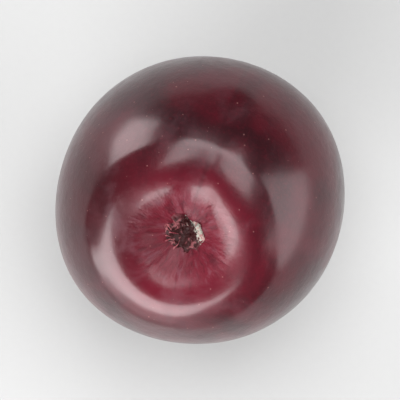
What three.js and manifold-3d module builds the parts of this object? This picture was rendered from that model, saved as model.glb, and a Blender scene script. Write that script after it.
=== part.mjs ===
// A pluot: one ripe, dark red stone fruit, picked, with its stem pulled off.
//
// It is one solid in one mesh. The fruit is shaped upright in its own frame, in millimetres: the stem axis
// is +Z and the suture, the shallow seam down one side, lies in the plane y = 0 on the +X side. It is then
// leaned over and set down on the small flat spot that it rests on, whose centre is the part's origin.
import * as THREE from "three";
import { mergeVertices } from "three/addons/utils/BufferGeometryUtils.js";
import Module from "manifold-3d";

// ---- Driving dimensions, mm and degrees ----
const SUTURE_DIAMETER = 44.2; // across the fruit in the plane of the suture
const CHEEK_DIAMETER = 43.8; // across the fruit from cheek to cheek, before the cheeks are filled out
const POLE_RADIUS = 22.3; // centre to the blossom end, and to the stem end before the cavity is sunk
const CAVITY_REACH = 11.8; // radius over which the stem end dips into the cavity
const CAVITY_SINK = 7.4; // how far the cavity's floor lies below the unsunk stem end
const SHOULDER_RADIUS = 9.75; // of the shoulder between the cavity and the sides
const SHOULDER_REACH = 4.9; // how far either side of that it is rounded
const SHOULDER_SINK = 1.05; // how much lower the rounding leaves it
const SHOULDER_DRAW_IN = 0.3; // and how much closer to the stem axis
const SCAR_REACH = 2.8; // radius of the pit that the stem has left
const SCAR_SINK = 1.3;
const SUTURE_REACH = 4.2; // half width of the seam
const SUTURE_DEPTH = 0.4; // at the cavity's rim, from which it fades towards the blossom end
const SUTURE_END = -14; // height on the fruit, from its middle, at which the seam has faded out
const LEAN = 21; // lean of the stem axis from upright
const LEAN_HEADING = 243; // which way the stem end leans, turned from +X towards +Y
const SUTURE_HEADING = 70; // which way the suture faces, turned from +X towards +Y
const SPOT_RADIUS = 4.2; // of the flat spot underneath
const SEGMENTS = 64; // round the stem axis
const RINGS = 46; // from stem end to blossom end

const SKIN_COLOUR = 0x571a26;

const CAVITY_FLOOR = POLE_RADIUS - CAVITY_SINK;

// Soft pushes by which the plain ellipsoid becomes the fruit, in this order. Each moves what lies within
// `reach` of `at` by `move`, fading to nothing at the reach.
const PUSHES = [
  { name: "stem cavity", at: [0, 0, POLE_RADIUS], reach: CAVITY_REACH, move: [0, 0, -CAVITY_SINK] },
  { name: "stem scar", at: [0, 0, CAVITY_FLOOR], reach: SCAR_REACH, move: [0, 0, -SCAR_SINK] },
  { name: "suture entering the cavity", at: [9, 0, 19.5], reach: 7, move: [0, 0, -1] },
  { name: "shoulder across from the suture", at: [-10, 0, 19.5], reach: 10, move: [-0.3, 0, 0.6] },
  { name: "fuller cheek", at: [-18, 12.6, 6], reach: 24, move: [-0.95, 0.66, 0.2] },
  { name: "cheek across from it", at: [18, -12.6, -6], reach: 22, move: [0.5, -0.35, 0] },
  { name: "blossom end drawn in", at: [0, 0, -POLE_RADIUS], reach: 9, move: [0, 0, 0.4] },
  { name: "blossom tip", at: [0, 0, 0.4 - POLE_RADIUS], reach: 1.6, move: [0, 0, -0.3] },
];

const smooth = (near) => near * near * (3 - 2 * near);
const clamp = THREE.MathUtils.clamp;
const radians = THREE.MathUtils.degToRad;

// ---- Shaping ----
function pushPoints(points, { at, reach, move }) {
  const centre = new THREE.Vector3(...at);
  const step = new THREE.Vector3(...move);
  for (const p of points) {
    const near = 1 - p.distanceTo(centre) / reach;
    if (near > 0) p.addScaledVector(step, smooth(near));
  }
}

// Rounds off the shoulder round the cavity, which the cavity's push leaves too sharp.
function roundShoulder(points) {
  for (const p of points) {
    const away = Math.hypot(p.x, p.y);
    const near = 1 - Math.abs(away - SHOULDER_RADIUS) / SHOULDER_REACH;
    if (p.z <= 0 || near <= 0) continue;
    const inward = new THREE.Vector3(-p.x / away, -p.y / away, 0).multiplyScalar(SHOULDER_DRAW_IN);
    p.addScaledVector(inward.setZ(-SHOULDER_SINK), smooth(near));
  }
}

// The seam starts a little outside the stem scar, crosses the cavity's rim and runs down the +X side.
function sinkSuture(points) {
  for (const p of points) {
    const near = 1 - Math.abs(p.y) / SUTURE_REACH;
    if (p.x <= 0 || near <= 0) continue;
    const fadeAtStem = smooth(clamp((p.x - SCAR_REACH) / 6, 0, 1));
    const fadeDown = smooth(clamp((p.z - SUTURE_END) / (CAVITY_FLOOR - SUTURE_END), 0, 1));
    p.addScaledVector(p.clone().normalize(), -SUTURE_DEPTH * smooth(near) * fadeAtStem * fadeDown);
  }
}

// ---- Setting down ----
// Turns the fruit so that its suture faces SUTURE_HEADING and its stem end leans towards LEAN_HEADING.
function leaningTurn() {
  const face = new THREE.Quaternion().setFromAxisAngle(new THREE.Vector3(0, 0, 1), radians(SUTURE_HEADING));
  const heading = radians(LEAN_HEADING);
  const hinge = new THREE.Vector3(-Math.sin(heading), Math.cos(heading), 0);
  const lean = new THREE.Quaternion().setFromAxisAngle(hinge, radians(LEAN));
  return lean.multiply(face);
}

// The ellipsoid's lowest point once it is turned, in the turned frame.
function lowestPoint(turn) {
  const down = new THREE.Vector3(0, 0, -1).applyQuaternion(turn.clone().invert());
  const semi = new THREE.Vector3(SUTURE_DIAMETER / 2, CHEEK_DIAMETER / 2, POLE_RADIUS);
  const scaled = down.clone().multiply(semi);
  return scaled.clone().multiply(semi).divideScalar(scaled.length()).applyQuaternion(turn);
}

function fruitPoints(sphere) {
  const place = sphere.getAttribute("position");
  const points = [];
  for (let i = 0; i < place.count; i++) {
    const p = new THREE.Vector3().fromBufferAttribute(place, i);
    points.push(p.multiply(new THREE.Vector3(SUTURE_DIAMETER / 2, CHEEK_DIAMETER / 2, POLE_RADIUS)));
  }
  PUSHES.forEach((one) => pushPoints(points, one));
  roundShoulder(points);
  sinkSuture(points);

  const turn = leaningTurn();
  const lowest = lowestPoint(turn);
  const meanRadius = (SUTURE_DIAMETER + CHEEK_DIAMETER) / 4;
  const spotDepth = meanRadius - Math.sqrt(meanRadius ** 2 - SPOT_RADIUS ** 2);
  const shift = new THREE.Vector3(-lowest.x, -lowest.y, -lowest.z - spotDepth);
  points.forEach((p) => p.applyQuaternion(turn).add(shift));
  return points;
}

// ---- Solids ----
const wasm = await Module();
wasm.setup();

function solidOf(geometry) {
  geometry.deleteAttribute("normal");
  geometry.deleteAttribute("uv");
  const merged = mergeVertices(geometry, 1e-4);
  return new wasm.Manifold(
    new wasm.Mesh({
      numProp: 3,
      vertProperties: new Float32Array(merged.getAttribute("position").array),
      triVerts: new Uint32Array(merged.index.array),
    }),
  );
}

function geometryOf(solid) {
  const { vertProperties, triVerts } = solid.getMesh();
  const geometry = new THREE.BufferGeometry();
  geometry.setAttribute("position", new THREE.BufferAttribute(vertProperties, 3));
  geometry.setIndex(new THREE.BufferAttribute(triVerts, 1));
  geometry.computeVertexNormals();
  return geometry;
}

// The whole fruit, cut flat where it rests: what reaches below z = 0 is taken off.
function fruitGeometry() {
  const sphere = new THREE.SphereGeometry(1, SEGMENTS, RINGS).rotateX(Math.PI / 2);
  sphere.deleteAttribute("normal");
  sphere.deleteAttribute("uv");
  const shaped = mergeVertices(sphere, 1e-4);
  shaped.setFromPoints(fruitPoints(shaped));

  const slabHeight = 10;
  const slab = new THREE.BoxGeometry(80, 80, slabHeight).translate(0, 0, -slabHeight / 2);
  return geometryOf(solidOf(shaped).subtract(solidOf(slab)));
}

const skin = new THREE.MeshStandardMaterial({ color: SKIN_COLOUR, roughness: 0.32, metalness: 0 });
const fruit = new THREE.Mesh(fruitGeometry(), skin);
fruit.name = "fruit";

const pluot = new THREE.Group();
pluot.name = "pluot";
pluot.add(fruit);

export default pluot;
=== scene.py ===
import math
import random

import bpy
from bpy.props import FloatProperty, FloatVectorProperty, IntProperty, PointerProperty
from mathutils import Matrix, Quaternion, Vector


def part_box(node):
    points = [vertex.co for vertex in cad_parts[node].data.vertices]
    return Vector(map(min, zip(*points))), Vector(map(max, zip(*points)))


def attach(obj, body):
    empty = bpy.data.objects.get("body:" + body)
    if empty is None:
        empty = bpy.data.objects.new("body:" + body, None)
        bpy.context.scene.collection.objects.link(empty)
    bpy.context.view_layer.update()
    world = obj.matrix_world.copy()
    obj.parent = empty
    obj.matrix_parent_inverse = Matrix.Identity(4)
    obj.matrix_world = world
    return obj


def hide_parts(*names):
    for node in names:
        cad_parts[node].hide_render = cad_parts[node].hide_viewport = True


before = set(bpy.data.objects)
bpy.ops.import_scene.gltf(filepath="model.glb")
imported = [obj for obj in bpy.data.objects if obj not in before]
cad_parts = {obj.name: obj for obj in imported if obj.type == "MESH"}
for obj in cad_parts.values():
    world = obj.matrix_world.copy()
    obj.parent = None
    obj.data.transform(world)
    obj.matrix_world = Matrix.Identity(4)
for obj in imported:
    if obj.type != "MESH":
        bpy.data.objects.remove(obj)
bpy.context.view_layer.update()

bl_info = {
    "name": "Pluot",
    "version": (1, 0, 0),
    "blender": (4, 5, 0),
    "location": "View3D > Sidebar > Pluot",
    "description": "One ripe, dark red pluot with its stem pulled off, on a plain studio floor",
    "category": "Add Mesh",
}

CAD_NODE = "fruit"
BODY = "root"
MM = 0.001


# ---- Sizes and colours that a user would change ----
class PluotShape(bpy.types.PropertyGroup):
    """The fruit's form, upright in its own frame: stem axis up, suture towards +X"""

    suture_diameter: FloatProperty(
        name="Suture diameter", description="Across the fruit in the plane of the suture",
        default=44.2 * MM, unit="LENGTH")
    cheek_diameter: FloatProperty(
        name="Cheek diameter", description="Across the fruit from cheek to cheek",
        default=43.8 * MM, unit="LENGTH")
    pole_radius: FloatProperty(
        name="Pole radius", description="From the middle to the blossom end, and to the unsunk stem end",
        default=22.3 * MM, unit="LENGTH")
    cavity_reach: FloatProperty(
        name="Cavity reach", description="Radius over which the stem end dips into its cavity",
        default=11.8 * MM, unit="LENGTH")
    cavity_sink: FloatProperty(
        name="Cavity sink", description="How far the cavity's floor lies below the unsunk stem end",
        default=7.4 * MM, unit="LENGTH")
    scar_reach: FloatProperty(
        name="Scar reach", description="Radius of the dip round the stem scar",
        default=2.8 * MM, unit="LENGTH")
    scar_sink: FloatProperty(
        name="Scar sink", description="Depth of the dip round the stem scar",
        default=1.3 * MM, unit="LENGTH")
    suture_reach: FloatProperty(
        name="Suture reach", description="Half width of the seam",
        default=4.2 * MM, unit="LENGTH")
    suture_depth: FloatProperty(
        name="Suture depth", description="Depth of the seam at the cavity's rim",
        default=0.4 * MM, unit="LENGTH")
    lean: FloatProperty(
        name="Lean", description="Lean of the stem axis from upright",
        default=math.radians(21), subtype="ANGLE")
    lean_heading: FloatProperty(
        name="Lean heading", description="Which way the stem end leans, from +X towards +Y",
        default=math.radians(243), subtype="ANGLE")
    suture_heading: FloatProperty(
        name="Suture heading", description="Which way the suture faces, from +X towards +Y",
        default=math.radians(70), subtype="ANGLE")
    spot_radius: FloatProperty(
        name="Spot radius", description="Radius of the flat spot that the fruit rests on",
        default=4.2 * MM, unit="LENGTH")
    folds: IntProperty(
        name="Folds", description="Fine creases that run down into the stem cavity",
        default=34, min=0)


class PluotSkin(bpy.types.PropertyGroup):
    """Colours of the skin, of the torn flesh in the scar and of the dry tips, in linear light"""

    deep: FloatVectorProperty(
        name="Deep", description="The darkest skin, away from the stem",
        default=(0.015, 0.0014, 0.0030), size=3, subtype="COLOR", min=0, max=1)
    # Painted shade: a darker, browner skin colour laid over one side of the fruit
    shade: FloatVectorProperty(
        name="Shade", description="The browner skin on the side that grew in the shade",
        default=(0.017, 0.0034, 0.0043), size=3, subtype="COLOR", min=0, max=1)
    ripe: FloatVectorProperty(
        name="Ripe", description="The general colour of the skin",
        default=(0.040, 0.0018, 0.0052), size=3, subtype="COLOR", min=0, max=1)
    blush: FloatVectorProperty(
        name="Blush", description="The brighter skin in and near the stem cavity",
        default=(0.096, 0.0036, 0.0115), size=3, subtype="COLOR", min=0, max=1)
    bloom: FloatVectorProperty(
        name="Bloom", description="The thin waxy film that lies in patches on the skin",
        default=(0.20, 0.13, 0.16), size=3, subtype="COLOR", min=0, max=1)
    lenticel: FloatVectorProperty(
        name="Lenticel", description="The fine pale dots in the skin",
        default=(0.38, 0.17, 0.15), size=3, subtype="COLOR", min=0, max=1)
    # Also painted shade: this near-black colour fills the middle of the scar's hollow
    flesh: FloatVectorProperty(
        name="Torn flesh", description="The wet flesh at the torn stem scar",
        default=(0.022, 0.0010, 0.0016), size=3, subtype="COLOR", min=0, max=1)
    fibre: FloatVectorProperty(
        name="Fibre", description="The torn strands round the scar",
        default=(0.26, 0.075, 0.085), size=3, subtype="COLOR", min=0, max=1)
    scab: FloatVectorProperty(
        name="Scab", description="The pale, dry tissue that the stem parted from",
        default=(0.27, 0.275, 0.235), size=3, subtype="COLOR", min=0, max=1)
    dry: FloatVectorProperty(
        name="Dry tip", description="The dry brown point at the blossom end",
        default=(0.16, 0.085, 0.05), size=3, subtype="COLOR", min=0, max=1)


class PluotStage(bpy.types.PropertyGroup):
    """The floor, the lights and the camera"""

    floor_colour: FloatVectorProperty(
        name="Floor", description="Colour of the floor",
        default=(0.37, 0.37, 0.37), size=3, subtype="COLOR", min=0, max=1)
    lens: FloatProperty(
        name="Lens", description="Focal length of the camera, in millimetres",
        default=200, min=1)
    share: FloatProperty(
        name="Share", description="Share of the picture's width that the fruit takes up",
        default=0.72, subtype="FACTOR", min=0.1, max=1)


# ---- The fruit's own frame ----
def leaning_turn(shape):
    """The turn from the fruit's own upright frame to how it rests."""
    face = Quaternion((0, 0, 1), shape.suture_heading)
    hinge = Vector((-math.sin(shape.lean_heading), math.cos(shape.lean_heading), 0))
    return Quaternion(hinge, shape.lean) @ face


def resting_centre(shape):
    """Where the middle of the fruit lies once it rests on its flat spot at the origin."""
    turn = leaning_turn(shape)
    semi = Vector((shape.suture_diameter / 2, shape.cheek_diameter / 2, shape.pole_radius))
    down = turn.inverted() @ Vector((0, 0, -1))
    scaled = Vector((down.x * semi.x, down.y * semi.y, down.z * semi.z))
    lowest = Vector((scaled.x * semi.x, scaled.y * semi.y, scaled.z * semi.z)) / scaled.length
    mean_radius = (shape.suture_diameter + shape.cheek_diameter) / 4
    spot_depth = mean_radius - math.sqrt(mean_radius**2 - shape.spot_radius**2)
    return -(turn @ lowest) - Vector((0, 0, spot_depth))


# ---- Working on a mesh as by hand ----
def in_metres(millimetres):
    return tuple(value * MM for value in millimetres)


def deselect_all():
    bpy.ops.object.select_all(action="DESELECT")


def make_active(piece):
    deselect_all()
    piece.select_set(True)
    bpy.context.view_layer.objects.active = piece


def select_points(piece, wanted):
    """Selects, in object mode, the points whose place `wanted` accepts."""
    mesh = piece.data
    mesh.polygons.foreach_set("select", [False] * len(mesh.polygons))
    mesh.edges.foreach_set("select", [False] * len(mesh.edges))
    mesh.vertices.foreach_set("select", [wanted(v.co) for v in mesh.vertices])


def nearest_point(piece, place):
    """The place of the piece's point that lies nearest to `place`."""
    return min((v.co.copy() for v in piece.data.vertices), key=lambda co: (co - place).length_squared)


def edit_points(piece):
    make_active(piece)
    bpy.context.tool_settings.mesh_select_mode = (True, False, False)
    bpy.ops.object.mode_set(mode="EDIT")


def push(piece, at, reach, move):
    """Moves the point nearest `at` by `move`, and what lies within `reach` of it softly along."""
    centre = nearest_point(piece, Vector(at))
    select_points(piece, lambda co: (co - centre).length < 0.001 * MM)
    edit_points(piece)
    bpy.ops.transform.translate(
        value=move, use_proportional_edit=True, proportional_edit_falloff="SMOOTH",
        proportional_size=reach)
    bpy.ops.object.mode_set(mode="OBJECT")


def sink(piece, wanted, depth, reach):
    """Sinks the wanted points along their normals by `depth`, and what lies within `reach` softly along."""
    select_points(piece, wanted)
    edit_points(piece)
    bpy.ops.transform.shrink_fatten(
        value=-depth, use_proportional_edit=True, proportional_edit_falloff="SMOOTH",
        proportional_size=reach)
    bpy.ops.object.mode_set(mode="OBJECT")


def apply_modifiers(piece):
    make_active(piece)
    for modifier in list(piece.modifiers):
        bpy.ops.object.modifier_apply(modifier=modifier.name)


def subdivide_smoothly(piece, levels):
    modifier = piece.modifiers.new("smooth", "SUBSURF")
    modifier.levels = levels
    modifier.render_levels = levels


def shade_smooth(piece):
    make_active(piece)
    bpy.ops.object.shade_smooth()


# ---- The fruit ----
SKIN_SEGMENTS = 128  # round the stem axis, before the skin is subdivided
SKIN_RINGS = 96

# Soft pushes that follow once the cavity and the dip round the scar are sunk, in millimetres: where each is
# centred, how far it reaches and how far it moves.
PUSHES = (
    ((9, 0, 19.5), 7, (0, 0, -1)),  # the suture entering the cavity
    ((10, 0, 18.3), 5, (-0.1, 0, -0.5)),  # its valley over the rim
    ((-10, 0, 19.5), 10, (-0.3, 0, 0.6)),  # the shoulder across from it
    ((-18, 12.6, 6), 24, (-0.95, 0.66, 0.2)),  # the fuller cheek
    ((18, -12.6, -6), 22, (0.5, -0.35, 0)),  # the cheek across from that
)
BLOSSOM_END_REACH = 9 * MM
BLOSSOM_END_LIFT = 0.4 * MM  # how far the blossom end is drawn in
BLOSSOM_TIP_REACH = 1.6 * MM
BLOSSOM_TIP_DROP = 0.3 * MM

RIM_INNER = 0.5  # the smoothed band round the cavity's rim, as shares of the cavity's reach
RIM_OUTER = 1.2
RIM_ROUNDS = 70

SEAM_START = 5  # distance from the stem axis at which the seam starts, in millimetres
SEAM_ENDS = (10, 4, -2, -8)  # heights at which its sunk stretches end, in millimetres

# The seam's fine middle line in stretches, in millimetres: from and to which distance from the stem axis and
# down to which height each runs, how deep it is and how far it reaches to either side.
SEAM_LINES = (
    (3.0, 10, 9, 0.05, 1.5),  # inside the cavity
    (10, math.inf, 6, 0.02, 1.8),
    (10, math.inf, -6, 0.02, 1.8),
    (10, math.inf, -19, 0.07, 1.8),  # down to the blossom end
)

# Ranges that the cavity's folds are drawn from, in millimetres. A negative depth is a raised fold.
FOLD_INNER = (2.2, 4.0)
FOLD_OUTER = (4.5, 6.5)
FOLD_DEPTH = (-0.05, 0.10)
FOLD_REACH = (0.6, 1.0)


def shaped_body(shape):
    """The fruit upright round its own middle, as a ball pushed into shape."""
    deselect_all()
    bpy.ops.mesh.primitive_uv_sphere_add(segments=SKIN_SEGMENTS, ring_count=SKIN_RINGS, radius=1)
    body = bpy.context.object
    body.name = "pluot_skin"
    body.scale = (shape.suture_diameter / 2, shape.cheek_diameter / 2, shape.pole_radius)
    bpy.ops.object.transform_apply(location=False, rotation=False, scale=True)

    top = shape.pole_radius
    floor = top - shape.cavity_sink
    push(body, (0, 0, top), shape.cavity_reach, (0, 0, -shape.cavity_sink))
    push(body, (0, 0, floor), shape.scar_reach, (0, 0, -shape.scar_sink))
    for at, reach, move in PUSHES:
        push(body, in_metres(at), reach * MM, in_metres(move))
    push(body, (0, 0, -top), BLOSSOM_END_REACH, (0, 0, BLOSSOM_END_LIFT))
    push(body, (0, 0, BLOSSOM_END_LIFT - top), BLOSSOM_TIP_REACH, (0, 0, -BLOSSOM_TIP_DROP))
    return body


def on_seam(co, start, stop, lowest):
    """Whether a point is on the seam's middle line, at these distances and above this height, in mm."""
    return abs(co.y) < 0.01 * MM and start * MM < co.x < stop * MM and co.z > lowest * MM


def sink_suture(body, shape):
    """The seam, sunk in stretches that each start at the cavity and end further down."""
    depth = shape.suture_depth / len(SEAM_ENDS)
    for end in SEAM_ENDS:
        sink(body, lambda co: on_seam(co, SEAM_START, math.inf, end), depth, shape.suture_reach)


def round_rim(body, shape):
    """Softens the shoulder between the cavity and the sides, which the push leaves too sharp."""
    inner = RIM_INNER * shape.cavity_reach
    outer = RIM_OUTER * shape.cavity_reach
    select_points(body, lambda co: co.z > 0 and inner < math.hypot(co.x, co.y) < outer)
    edit_points(body)
    bpy.ops.mesh.vertices_smooth(factor=0.5, repeat=RIM_ROUNDS)
    bpy.ops.object.mode_set(mode="OBJECT")


def crease_seam(body):
    """The seam's fine middle line, inside the cavity and then down to the blossom end."""
    for start, stop, lowest, depth, reach in SEAM_LINES:
        sink(body, lambda co: on_seam(co, start, stop, lowest), depth * MM, reach * MM)


def crease_cavity(body, shape):
    """Fine folds that run from the cavity's rim down towards the scar."""
    draw = random.Random(4)
    half_step = math.pi / SKIN_SEGMENTS
    for _ in range(shape.folds):
        heading = draw.uniform(0, 2 * math.pi)
        inner = draw.uniform(*FOLD_INNER) * MM
        outer = draw.uniform(*FOLD_OUTER) * MM
        depth = draw.uniform(*FOLD_DEPTH) * MM
        reach = draw.uniform(*FOLD_REACH) * MM

        def on_fold(co):
            apart = math.remainder(math.atan2(co.y, co.x) - heading, 2 * math.pi)
            return co.z > 0 and abs(apart) < half_step and inner < math.hypot(co.x, co.y) < outer

        sink(body, on_fold, depth, reach)


def set_down(piece, shape):
    """Leans the upright piece over and sets it where the fruit rests, with its place in its mesh."""
    make_active(piece)
    piece.rotation_mode = "QUATERNION"
    piece.rotation_quaternion = leaning_turn(shape)
    piece.location = resting_centre(shape)
    bpy.ops.object.transform_apply(location=True, rotation=True, scale=True)
    piece.rotation_mode = "XYZ"


def flatten_spot(piece):
    """Presses what would reach below the surface flat against it."""
    select_points(piece, lambda co: co.z < 0)
    edit_points(piece)
    bpy.ops.transform.resize(value=(1, 1, 0), center_override=(0, 0, 0))
    bpy.ops.object.mode_set(mode="OBJECT")


class PLUOT_OT_fruit(bpy.types.Operator):
    """Model the whole fruit: body, stem cavity, suture, blossom end and flat spot"""

    bl_idname = "pluot.fruit"
    bl_label = "Fruit"

    def execute(self, context):
        shape = context.scene.pluot_shape
        body = shaped_body(shape)
        round_rim(body, shape)
        sink_suture(body, shape)
        crease_seam(body)
        crease_cavity(body, shape)
        subdivide_smoothly(body, 1)
        apply_modifiers(body)
        set_down(body, shape)
        flatten_spot(body)
        shade_smooth(body)
        body.data.materials.append(skin_material(shape, context.scene.pluot_skin))
        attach(body, BODY)
        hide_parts(CAD_NODE)
        return {"FINISHED"}


# ---- The stem scar and the blossom tip ----
SCAB_HEADING = math.radians(-41)  # of the dry side of the scar, in the fruit's own frame
SCAR_HALF_LENGTH = 4.1 * MM
SCAR_HALF_WIDTH = 2.9 * MM
SCAR_HALF_HEIGHT = 1.3 * MM
SCAR_ABOVE_FLOOR = 0.25 * MM  # its middle, over the cavity's floor
SCAR_TEARS = 26
STRANDS = 14


def on_scar(distance, heading, height):
    """A place by its distance and heading from the stem axis, in the fruit's own frame."""
    return Vector((distance * math.cos(heading), distance * math.sin(heading), height))


def torn_crater(shape):
    """A flat pebble of flesh with a ragged hollow in its top, sunk in the cavity's floor."""
    level = shape.pole_radius - shape.cavity_sink + SCAR_ABOVE_FLOOR
    top = level + SCAR_HALF_HEIGHT
    deselect_all()
    bpy.ops.mesh.primitive_uv_sphere_add(segments=96, ring_count=48, radius=1)
    crater = bpy.context.object
    crater.name = "stem_scar"
    crater.scale = (SCAR_HALF_LENGTH, SCAR_HALF_WIDTH, SCAR_HALF_HEIGHT)
    crater.rotation_euler.z = SCAB_HEADING + math.pi / 2
    crater.location.z = level
    bpy.ops.object.transform_apply(location=True, rotation=True, scale=True)
    push(crater, (0, 0, top), 3.1 * MM, (0, 0, -2.0 * MM))

    draw = random.Random(11)
    for _ in range(SCAR_TEARS):
        heading = draw.uniform(0, 2 * math.pi)
        inward = draw.uniform(-0.7, 0.9) * MM
        up = draw.uniform(-0.45, 0.35) * MM
        reach = draw.uniform(0.6, 1.5) * MM
        move = (-inward * math.cos(heading), -inward * math.sin(heading), up)
        push(crater, on_scar(2.8 * MM, heading, top), reach, move)
    lift = on_scar(0.1 * MM, SCAB_HEADING, 0.50 * MM)
    for turn in (-0.6, 0, 0.6):
        push(crater, on_scar(2.7 * MM, SCAB_HEADING + turn, top), 1.3 * MM, lift)

    subdivide_smoothly(crater, 1)
    for name, grain, strength in (("shredded", 1.1 * MM, 0.7 * MM), ("torn", 0.35 * MM, 0.09 * MM)):
        texture = bpy.data.textures.new(name, "CLOUDS")
        texture.noise_scale = grain
        texture.noise_depth = 2
        tears = crater.modifiers.new(name, "DISPLACE")
        tears.texture = texture
        tears.texture_coords = "LOCAL"
        tears.strength = strength
    apply_modifiers(crater)
    return crater, level


def one_strand(draw, level):
    """A torn strand: a thin cone that starts at the scar's rim and curls in over the hollow."""
    heading = SCAB_HEADING + math.pi + draw.gauss(0, 1.1)
    length = draw.uniform(0.9, 2.6) * MM
    thickness = draw.uniform(0.10, 0.24) * MM
    bpy.ops.mesh.primitive_cone_add(vertices=6, radius1=thickness, radius2=0.02 * MM, depth=length)
    strand = bpy.context.object
    edit_points(strand)
    bpy.ops.mesh.select_all(action="SELECT")
    bpy.ops.mesh.subdivide(number_cuts=4)
    bpy.ops.object.mode_set(mode="OBJECT")
    curl = (draw.uniform(-0.5, 0.2) * MM, draw.uniform(-0.3, 0.3) * MM, 0)
    push(strand, (0, 0, length / 2), 0.9 * length, curl)
    tilt = math.radians(draw.uniform(35, 80))
    distance = draw.uniform(1.9, 3.0) * MM
    height = draw.uniform(0.45, 0.95) * MM
    strand.rotation_euler = (0, -tilt, heading)
    strand.location = on_scar(distance, heading, level + height)
    bpy.ops.object.transform_apply(location=True, rotation=True, scale=True)
    return strand


def torn_strands(level):
    """The strands, joined into one piece."""
    draw = random.Random(7)
    strands = []
    for _ in range(STRANDS):
        deselect_all()
        strands.append(one_strand(draw, level))
    deselect_all()
    for strand in strands:
        strand.select_set(True)
    bpy.context.view_layer.objects.active = strands[0]
    bpy.ops.object.join()
    strands[0].name = "torn_strands"
    return strands[0]


class PLUOT_OT_stem_scar(bpy.types.Operator):
    """Model the torn scar that the stem has left, with its dry side and its strands"""

    bl_idname = "pluot.stem_scar"
    bl_label = "Stem scar"

    def execute(self, context):
        shape = context.scene.pluot_shape
        skin = context.scene.pluot_skin
        crater, level = torn_crater(shape)
        for piece in (crater, torn_strands(level)):
            set_down(piece, shape)
            shade_smooth(piece)
            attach(piece, BODY)
            piece.data.materials.append(scar_material(piece.name, shape, skin))
        return {"FINISHED"}


class PLUOT_OT_blossom_tip(bpy.types.Operator):
    """Model the small dry point that the blossom has left underneath"""

    bl_idname = "pluot.blossom_tip"
    bl_label = "Blossom tip"

    def execute(self, context):
        shape = context.scene.pluot_shape
        deselect_all()
        bpy.ops.mesh.primitive_ico_sphere_add(subdivisions=4, radius=1)
        tip = context.object
        tip.name = "blossom_tip"
        tip.scale = (0.75 * MM, 0.6 * MM, 0.45 * MM)
        tip.location.z = BLOSSOM_END_LIFT - shape.pole_radius
        bpy.ops.object.transform_apply(location=True, rotation=True, scale=True)
        draw = random.Random(3)
        for _ in range(12):
            heading = draw.uniform(0, 2 * math.pi)
            push(tip, on_scar(draw.uniform(0.2, 0.6) * MM, heading, -shape.pole_radius),
                 draw.uniform(0.25, 0.45) * MM, (0, 0, draw.uniform(-0.12, 0.2) * MM))
        set_down(tip, shape)
        shade_smooth(tip)
        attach(tip, BODY)
        tip.data.materials.append(dry_tip_material(context.scene.pluot_skin))
        return {"FINISHED"}


# ---- Materials ----
def new_material(name):
    material = bpy.data.materials.new(name)
    material.use_nodes = True
    return material, material.node_tree, material.node_tree.nodes["Principled BSDF"]


def add(tree, kind, inputs=None, **settings):
    """A shader node with its settings, and its inputs set to a value or linked to a socket."""
    node = tree.nodes.new(kind)
    for name, value in settings.items():
        setattr(node, name, value)
    for name, value in (inputs or {}).items():
        if isinstance(value, bpy.types.NodeSocket):
            tree.links.new(value, node.inputs[name])
        else:
            node.inputs[name].default_value = value
    return node


def maths(tree, operation, first, second=0.0):
    return add(tree, "ShaderNodeMath", {0: first, 1: second}, operation=operation).outputs[0]


def plus(tree, first, second):
    return maths(tree, "ADD", first, second)


def times(tree, first, second):
    return maths(tree, "MULTIPLY", first, second)


def ramp(tree, value, low, high):
    """0 where value is at or below low, 1 where it is at or above high. low may be above high."""
    node = add(tree, "ShaderNodeMapRange", {"Value": value, "From Min": low, "From Max": high},
               interpolation_type="SMOOTHSTEP")
    return node.outputs["Result"]


def mix(tree, share, first, second):
    """The first colour where share is 0 and the second where it is 1."""
    node = tree.nodes.new("ShaderNodeMix")
    node.data_type = "RGBA"
    sockets = [s for s in node.inputs if s.type == "RGBA"]
    for socket, value in ((node.inputs[0], share), (sockets[0], first), (sockets[1], second)):
        if isinstance(value, bpy.types.NodeSocket):
            tree.links.new(value, socket)
        else:
            socket.default_value = value
    return next(s for s in node.outputs if s.type == "RGBA")


def noise(tree, place, scale, detail=2.0, roughness=0.5, distortion=0.0):
    """Soft noise with `scale` waves to each unit of place."""
    node = add(tree, "ShaderNodeTexNoise",
               {"Vector": place, "Scale": scale, "Detail": detail, "Roughness": roughness,
                "Distortion": distortion})
    return node.outputs["Fac"]


def roughen(tree, shader, height, strength, distance):
    """Lets the height, in shares of distance, show as a bump in the shader's surface."""
    bump = add(tree, "ShaderNodeBump", {"Height": height, "Strength": strength, "Distance": distance})
    tree.links.new(bump.outputs["Normal"], shader.inputs["Normal"])


def rgba(colour):
    return (*colour, 1.0)


def own_millimetres(tree, shape):
    """Object coordinates turned back into the fruit's own upright frame, in millimetres."""
    place = add(tree, "ShaderNodeTexCoord").outputs["Object"]
    node = add(tree, "ShaderNodeMapping",
               {"Vector": place, "Location": resting_centre(shape),
                "Rotation": leaning_turn(shape).to_euler("XYZ"), "Scale": (MM, MM, MM)},
               vector_type="TEXTURE")
    return node.outputs["Vector"]


def from_axis(tree, x, y):
    """The distance from the stem axis."""
    return maths(tree, "SQRT", plus(tree, maths(tree, "POWER", x, 2.0), maths(tree, "POWER", y, 2.0)))


PAINTED_SHADE_SIDE = Vector((-0.80, -0.08, 0.60))  # the side where shade is painted into the skin's colour, as the fruit rests


def painted_shade_patch(tree, place, cloudy, shape):
    """1 in the middle of the side where shade is painted, with a cloudy edge."""
    middle = (leaning_turn(shape).inverted() @ PAINTED_SHADE_SIDE) * (shape.pole_radius / MM)
    apart = add(tree, "ShaderNodeVectorMath", {0: place, 1: middle}, operation="DISTANCE")
    return ramp(tree, plus(tree, apart.outputs["Value"], times(tree, cloudy, 5.0)), 19.0, 8.0)


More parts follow.
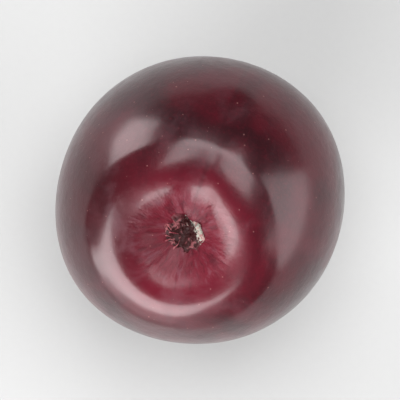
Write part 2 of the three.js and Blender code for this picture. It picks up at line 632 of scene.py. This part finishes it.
def radial_streaks(tree, place, x, y):
    """Noise that runs out from the stem axis in streaks."""
    flat = add(tree, "ShaderNodeCombineXYZ", {"X": x, "Y": y, "Z": 0.0}).outputs[0]
    heading = add(tree, "ShaderNodeVectorMath", {0: flat}, operation="NORMALIZE").outputs[0]
    spread = add(tree, "ShaderNodeVectorMath", {0: place, 1: (0.12, 0.12, 0.12), 2: heading},
                 operation="MULTIPLY_ADD").outputs[0]
    return noise(tree, spread, 3.4, detail=4.0, roughness=0.6)


def lenticel_dots(tree, place):
    """1 in the middle of fine dots of all sizes, about one and a half millimetres apart."""
    dots = add(tree, "ShaderNodeTexVoronoi", {"Vector": place, "Scale": 0.75, "Randomness": 1.0},
               feature="F1")
    draw = add(tree, "ShaderNodeSeparateXYZ", {"Vector": dots.outputs["Color"]}).outputs[0]
    from_edge = maths(tree, "SUBTRACT", dots.outputs["Distance"], times(tree, draw, 0.09))
    return ramp(tree, from_edge, 0.03, 0.0)


def skin_material(shape, skin):
    """Dark red waxy skin: redder by the stem, mottled, dotted, with bloom where it isn't rubbed, and with
    painted shade on one side, along the seam and in streaks in the cavity, where paler streaks are partly
    painted sheen.
    """
    material, tree, shader = new_material("pluot_skin")
    place = own_millimetres(tree, shape)
    x, y, z = add(tree, "ShaderNodeSeparateXYZ", {"Vector": place}).outputs
    away = from_axis(tree, x, y)
    stem_side = ramp(tree, z, 4.0, 17.0)
    near_stem = times(tree, ramp(tree, away, 15.0, 5.0), stem_side)
    inside_rim = times(tree, ramp(tree, away, 9.0, 6.0), stem_side)
    in_cavity = times(tree, ramp(tree, away, 8.0, 5.5), stem_side)

    broad = noise(tree, place, 0.09, detail=3.0, roughness=0.55, distortion=0.6)
    cloudy = noise(tree, place, 0.35, detail=4.0, roughness=0.6)
    fine = noise(tree, place, 2.2, detail=4.0, roughness=0.6)
    colour = mix(tree, ramp(tree, broad, 0.36, 0.64), rgba(skin.deep), rgba(skin.ripe))
    colour = mix(tree, times(tree, near_stem, 0.9), colour, rgba(skin.blush))
    colour = mix(tree, times(tree, ramp(tree, cloudy, 0.5, 0.72), 0.35), colour, rgba(skin.deep))
    colour = mix(tree, times(tree, ramp(tree, fine, 0.45, 0.75), 0.22), colour, rgba(skin.blush))

    # Streaks inside the rim: mottled colour, with painted sheen on the folds in the paler streaks and
    # painted shade in the darker ones between them
    streaks = radial_streaks(tree, place, x, y)
    pale = times(tree, ramp(tree, streaks, 0.52, 0.70), inside_rim)
    colour = mix(tree, times(tree, pale, 0.15), colour, rgba(skin.bloom))
    dark = times(tree, ramp(tree, streaks, 0.50, 0.34), inside_rim)
    colour = mix(tree, times(tree, dark, 0.40), colour, rgba(skin.deep))

    # Painted shade: one side of the skin darkened towards the shade colour
    painted_shade_share = painted_shade_patch(tree, place, cloudy, shape)
    colour = mix(tree, times(tree, painted_shade_share, 0.6), colour, rgba(skin.shade))
    in_dot = lenticel_dots(tree, place)
    colour = mix(tree, times(tree, in_dot, 0.24), colour, rgba(skin.lenticel))

    bloom_patches = noise(tree, place, 0.16, detail=5.0, roughness=0.62, distortion=0.4)
    thick = plus(tree, 0.035, times(tree, near_stem, 0.06))
    bloomed = times(tree, ramp(tree, bloom_patches, 0.46, 0.70), thick)
    colour = mix(tree, bloomed, colour, rgba(skin.bloom))

    # Painted shade: a dark line along the seam, darkening its crease
    beside_seam = ramp(tree, maths(tree, "ABSOLUTE", y), 0.55, 0.0)
    painted_seam_shade = times(tree, beside_seam, ramp(tree, x, 4.0, 7.0))
    colour = mix(tree, times(tree, painted_seam_shade, 0.35), colour, rgba(skin.deep))
    tree.links.new(colour, shader.inputs["Base Color"])

    coat = maths(tree, "SUBTRACT", 0.42, times(tree, in_cavity, 0.34))
    tree.links.new(coat, shader.inputs["Coat Weight"])
    rough = plus(tree, times(tree, bloomed, 2.5), 0.26)
    rough = plus(tree, rough, times(tree, in_cavity, 0.16))
    rough = plus(tree, rough, times(tree, cloudy, 0.12))
    tree.links.new(rough, shader.inputs["Roughness"])

    pores = noise(tree, place, 3.5, detail=3.0, roughness=0.55)
    waves = noise(tree, place, 0.55, detail=2.0)
    height = plus(tree, times(tree, pores, 0.03), times(tree, waves, 0.10))
    height = plus(tree, height, times(tree, in_dot, 0.03))
    height = plus(tree, height, times(tree, times(tree, streaks, inside_rim), 0.45))
    roughen(tree, shader, height, 0.6, 1.0 * MM)
    shader.inputs["Specular IOR Level"].default_value = 0.32
    shader.inputs["Specular Tint"].default_value = (1.0, 0.60, 0.66, 1)
    shader.inputs["Coat Roughness"].default_value = 0.19
    return material


def scar_material(name, shape, skin):
    """Torn flesh: dark in the hollow, as wet flesh with painted shade, pink on the torn edges, pale and dry
    on one side.
    """
    material, tree, shader = new_material(name)
    place = own_millimetres(tree, shape)
    x, y, _ = add(tree, "ShaderNodeSeparateXYZ", {"Vector": place}).outputs
    shreds = noise(tree, place, 0.9, detail=4.0, roughness=0.55, distortion=0.5)
    if name == "torn_strands":
        colour = mix(tree, ramp(tree, shreds, 0.35, 0.6), rgba(skin.blush), rgba(skin.fibre))
    else:
        # Darkest in the middle of the hollow: the torn flesh's own dark colour with painted shade in the
        # hole
        ragged = plus(tree, from_axis(tree, x, y), times(tree, shreds, 1.3))
        colour = mix(tree, ramp(tree, ragged, 3.0, 4.2), rgba(skin.flesh), rgba(skin.blush))
        torn = times(tree, ramp(tree, shreds, 0.52, 0.62), 0.5)
        colour = mix(tree, torn, colour, rgba(skin.fibre))

    flakes = noise(tree, place, 2.2, detail=4.0, roughness=0.65)
    along = plus(tree, times(tree, x, math.cos(SCAB_HEADING)), times(tree, y, math.sin(SCAB_HEADING)))
    edge = plus(tree, times(tree, shreds, 2.6), times(tree, flakes, 3.0))
    dry = ramp(tree, plus(tree, along, edge), 4.45, 4.75)
    bare = times(tree, ramp(tree, flakes, 0.56, 0.42), 0.7)
    flaked = mix(tree, bare, rgba(skin.scab), rgba(skin.fibre))
    tree.links.new(mix(tree, dry, colour, flaked), shader.inputs["Base Color"])
    tree.links.new(plus(tree, times(tree, dry, 0.3), 0.6), shader.inputs["Roughness"])
    shader.inputs["Specular IOR Level"].default_value = 0.25
    roughen(tree, shader, shreds, 0.8, 0.3 * MM)
    return material


def dry_tip_material(skin):
    """Dry brown tissue, with painted shade darkening its wrinkles."""
    material, tree, shader = new_material("dry_tip")
    place = add(tree, "ShaderNodeTexCoord").outputs["Object"]
    wrinkles = noise(tree, place, 3.0 / MM, detail=4.0)
    # Painted shade: darker where the wrinkles' bump sinks
    darker = tuple(0.35 * c for c in skin.dry)
    colour = mix(tree, ramp(tree, wrinkles, 0.35, 0.65), rgba(darker), rgba(skin.dry))
    tree.links.new(colour, shader.inputs["Base Color"])
    shader.inputs["Roughness"].default_value = 0.85
    roughen(tree, shader, wrinkles, 0.8, 0.2 * MM)
    return material


def floor_material(stage):
    """Plain matt paper with a faint tooth."""
    material, tree, shader = new_material("floor")
    place = add(tree, "ShaderNodeTexCoord").outputs["Object"]
    grain = noise(tree, place, 900.0, detail=3.0)
    darker = tuple(0.97 * c for c in stage.floor_colour)
    colour = mix(tree, grain, rgba(darker), rgba(stage.floor_colour))
    tree.links.new(colour, shader.inputs["Base Color"])
    shader.inputs["Roughness"].default_value = 0.9
    shader.inputs["Specular IOR Level"].default_value = 0.2
    return material


# ---- The stage ----
WORLD_HORIZON = (0.13, 0.13, 0.13)
WORLD_OVERHEAD = (0.04, 0.04, 0.04)

# The soft panels: name, which way each stands from the fruit, how far off it is, its width and height, its
# brightness, and its roll about the line to the fruit.
PANELS = (
    ("left_light", (-0.74, 0.64, 0.22), 0.55, (0.30, 0.30), 7.6, 0.6),
    ("right_light", (0.95, -0.22, 0.36), 0.55, (0.60, 0.46), 3.8, 0.0),
    ("front_light", (-0.46, -0.76, 0.35), 0.55, (0.60, 0.37), 10.8, 0.0),
    ("top_light", (0.08, 0.34, 0.94), 0.70, (0.60, 0.62), 6.6, 0.0),
)


def softbox(aim, name, towards, distance, size, radiance, roll):
    """A soft panel light that stands off `distance` from `aim` and faces it, rolled about that line."""
    data = bpy.data.lights.new(name, "AREA")
    data.shape = "RECTANGLE"
    data.size, data.size_y = size
    data.energy = radiance * math.pi * size[0] * size[1]
    lamp = bpy.data.objects.new(name, data)
    bpy.context.scene.collection.objects.link(lamp)
    direction = Vector(towards).normalized()
    lamp.location = aim + direction * distance
    lamp.rotation_mode = "QUATERNION"
    lamp.rotation_quaternion = direction.to_track_quat("Z", "Y") @ Quaternion((0, 0, 1), roll)


def soft_world():
    """Dim overhead and brighter towards the horizon."""
    world = bpy.data.worlds.new("studio")
    bpy.context.scene.world = world
    world.use_nodes = True
    tree = world.node_tree
    direction = add(tree, "ShaderNodeTexCoord").outputs["Generated"]
    up = add(tree, "ShaderNodeSeparateXYZ", {"Vector": direction}).outputs[2]
    level = mix(tree, ramp(tree, up, 0.0, 0.6), rgba(WORLD_HORIZON), rgba(WORLD_OVERHEAD))
    background = next(n for n in tree.nodes if n.type == "BACKGROUND")
    tree.links.new(level, background.inputs["Color"])


class PLUOT_OT_stage(bpy.types.Operator):
    """Add the floor, the soft lights and the camera that looks straight down"""

    bl_idname = "pluot.stage"
    bl_label = "Stage"

    def execute(self, context):
        stage = context.scene.pluot_stage
        deselect_all()
        bpy.ops.mesh.primitive_plane_add(size=4)
        floor = context.object
        floor.name = "floor"
        floor.data.materials.append(floor_material(stage))

        lowest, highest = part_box(CAD_NODE)
        middle = (Vector(lowest) + Vector(highest)) / 2
        for panel in PANELS:
            softbox(middle, *panel)
        soft_world()

        width = max(highest[0] - lowest[0], highest[1] - lowest[1]) / stage.share
        data = bpy.data.cameras.new("camera")
        data.lens = stage.lens
        camera = bpy.data.objects.new("camera", data)
        context.scene.collection.objects.link(camera)
        camera.location = middle + Vector((0, 0, width * stage.lens / data.sensor_width))
        data.clip_start = 0.01
        data.clip_end = 10
        context.scene.camera = camera
        context.scene.view_settings.view_transform = "Standard"
        return {"FINISHED"}


# ---- Panel and registration ----
class PLUOT_PT_panel(bpy.types.Panel):
    """The pluot's pieces and the stage"""

    bl_label = "Pluot"
    bl_space_type = "VIEW_3D"
    bl_region_type = "UI"
    bl_category = "Pluot"

    def draw(self, context):
        for group in (context.scene.pluot_shape, context.scene.pluot_skin, context.scene.pluot_stage):
            box = self.layout.box()
            for name in group.__annotations__:
                box.prop(group, name)
        for operator in OPERATORS:
            self.layout.operator(operator.bl_idname)


OPERATORS = (PLUOT_OT_fruit, PLUOT_OT_stem_scar, PLUOT_OT_blossom_tip, PLUOT_OT_stage)
CLASSES = (PluotShape, PluotSkin, PluotStage, *OPERATORS, PLUOT_PT_panel)


def register():
    for one in CLASSES:
        bpy.utils.register_class(one)
    bpy.types.Scene.pluot_shape = PointerProperty(type=PluotShape)
    bpy.types.Scene.pluot_skin = PointerProperty(type=PluotSkin)
    bpy.types.Scene.pluot_stage = PointerProperty(type=PluotStage)


def unregister():
    del bpy.types.Scene.pluot_stage
    del bpy.types.Scene.pluot_skin
    del bpy.types.Scene.pluot_shape
    for one in reversed(CLASSES):
        bpy.utils.unregister_class(one)


def main():
    register()
    bpy.ops.pluot.fruit()
    bpy.ops.pluot.stem_scar()
    bpy.ops.pluot.blossom_tip()
    bpy.ops.pluot.stage()


if __name__ == "__main__":
    main()
